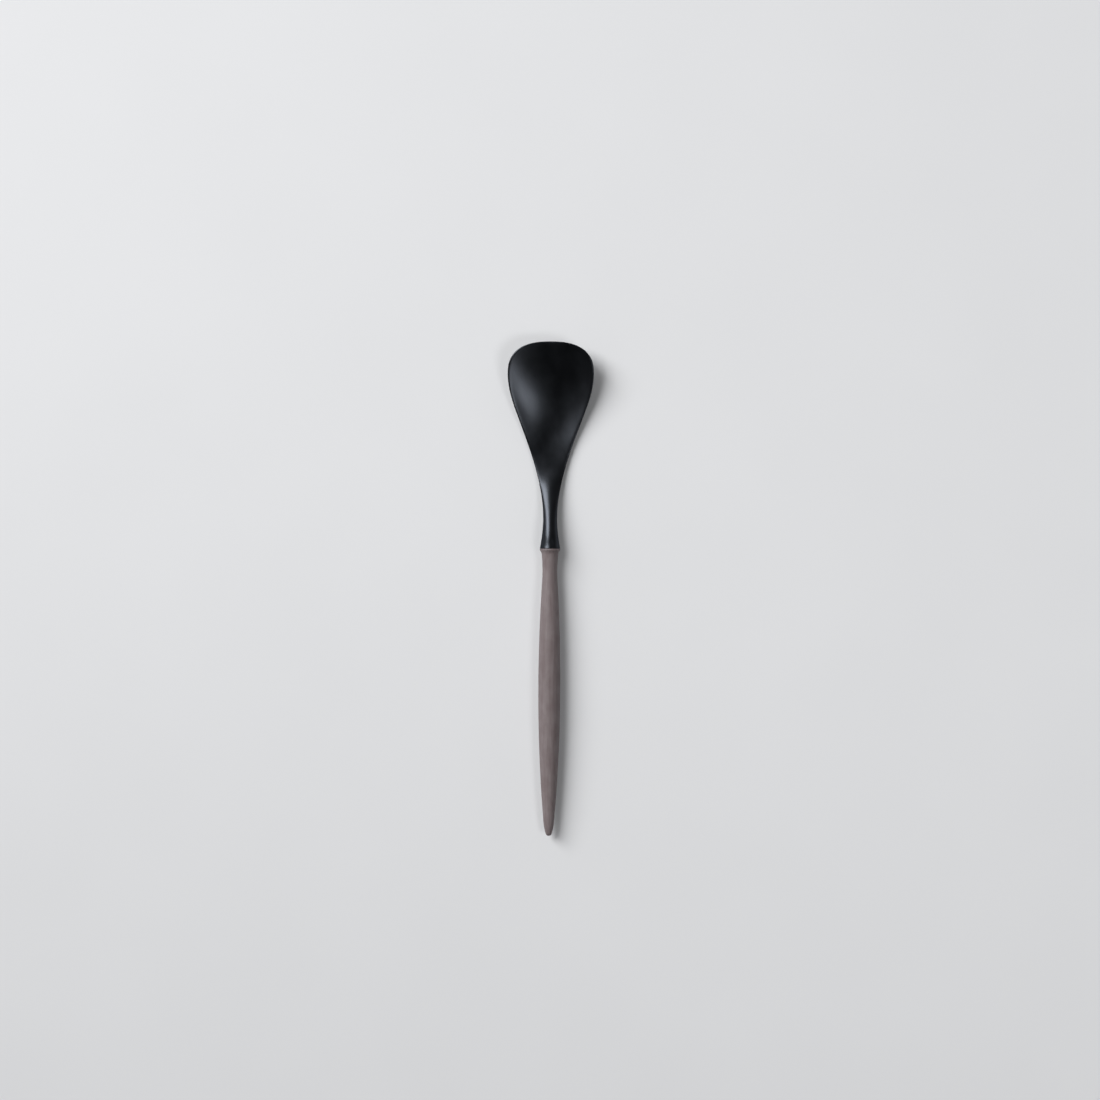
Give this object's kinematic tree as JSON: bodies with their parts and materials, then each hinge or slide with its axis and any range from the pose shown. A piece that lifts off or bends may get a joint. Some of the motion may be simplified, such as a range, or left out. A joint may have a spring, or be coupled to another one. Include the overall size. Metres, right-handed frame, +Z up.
{
  "type": "dessert spoon",
  "caption": "Dessert spoon with a black coated steel bowl, a slim round neck and a turned taupe handle that swells in the middle.",
  "frame": {"origin": "under the middle of the spoon's length, on the table it rests on", "axes": "+Y along the spoon towards the bowl's tip, +Z up out of the bowl's hollow, +X to the right"},
  "size_m": [0.0314, 0.18, 0.0092],
  "materials": {
    "black_steel": "satin black coating on stainless steel",
    "taupe_resin": "matt resin with faint lengthwise grain"
  },
  "bodies": {
    "root": {"bowl_and_neck": "black_steel", "handle": "taupe_resin"}
  },
  "joints": []
}
